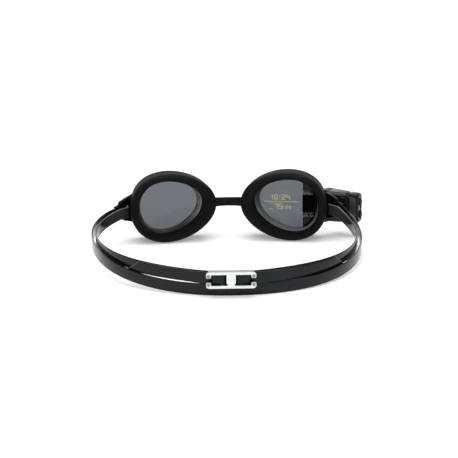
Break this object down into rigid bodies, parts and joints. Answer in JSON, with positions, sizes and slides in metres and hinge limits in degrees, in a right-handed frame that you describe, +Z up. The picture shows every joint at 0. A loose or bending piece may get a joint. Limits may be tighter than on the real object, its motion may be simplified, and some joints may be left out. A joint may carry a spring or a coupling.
{
  "type": "swim goggles",
  "caption": "Swim goggles with egg-shaped cups, silicone seals, split head strap with clear clip, and a side pod with push buttons that feeds a display in the right lens.",
  "frame": {"origin": "on the table, below the middle of the goggles' box: the cups' lower edges and the back of the strap rest on z = 0", "axes": "+X towards the pod, across the face; +Y the way the wearer looks; +Z up"},
  "size_m": [0.1801, 0.1484, 0.047],
  "materials": {
    "frame_black": "gloss",
    "bridge_black": "satin",
    "strap_silicone": "gloss",
    "gasket_silicone": "matte",
    "clear_plastic": "clear, polished",
    "smoked_lens": "smoked, polished",
    "optic_clear": "clear, polished",
    "engine_black": "satin",
    "display_chip": "gloss",
    "flex_ribbon": "satin",
    "cap_grey": "satin",
    "seal_rubber": "matte",
    "circuit_board": "satin",
    "chip_black": "matte",
    "cell_foil": "satin",
    "gold_contact": "polished",
    "switch_steel": "satin"
  },
  "bodies": {
    "bridge_and_strap": {"nose_bridge": "bridge_black", "head_strap": "strap_silicone", "strap_clip": "clear_plastic"},
    "left_cup": {"left_frame": "frame_black", "left_lens": "smoked_lens", "left_gasket": "gasket_silicone"},
    "right_cup": {"right_frame": "frame_black", "right_lens": "smoked_lens", "right_gasket": "gasket_silicone", "waveguide": "optic_clear", "projector_housing": "engine_black", "projector_cover": "engine_black", "collimator_lens": "optic_clear", "micro_display": "display_chip", "display_ribbon": "flex_ribbon", "pod_housing": "frame_black", "pod_seal": "seal_rubber", "pod_end_cap": "cap_grey", "main_board": "circuit_board", "board_chips": "chip_black", "battery": "cell_foil", "charge_contacts": "gold_contact", "button_board": "circuit_board", "button_switches": "switch_steel", "button_seals": "seal_rubber"},
    "upper_button": {"upper_button": "cap_grey"},
    "lower_button": {"lower_button": "cap_grey"}
  },
  "joints": [
    {"name": "left_swivel", "type": "hinge", "parent": "bridge_and_strap", "child": "left_cup", "pos_m": [-0.0118, 0.06701, 0.0235], "axis": [0, 0, 1], "range_deg": [-8, 8], "deforming": ["head_strap"]},
    {"name": "right_swivel", "type": "hinge", "parent": "bridge_and_strap", "child": "right_cup", "pos_m": [0.0118, 0.06701, 0.0235], "axis": [0, 0, 1], "range_deg": [-8, 8], "deforming": ["head_strap"]},
    {"name": "upper_press", "type": "slide", "parent": "right_cup", "child": "upper_button", "axis": [-0.9135, 0.4067, 0], "range_m": [0, 0.0005], "stiffness_N_per_m": 3000},
    {"name": "lower_press", "type": "slide", "parent": "right_cup", "child": "lower_button", "axis": [-0.9135, 0.4067, 0], "range_m": [0, 0.0005], "stiffness_N_per_m": 3000}
  ]
}
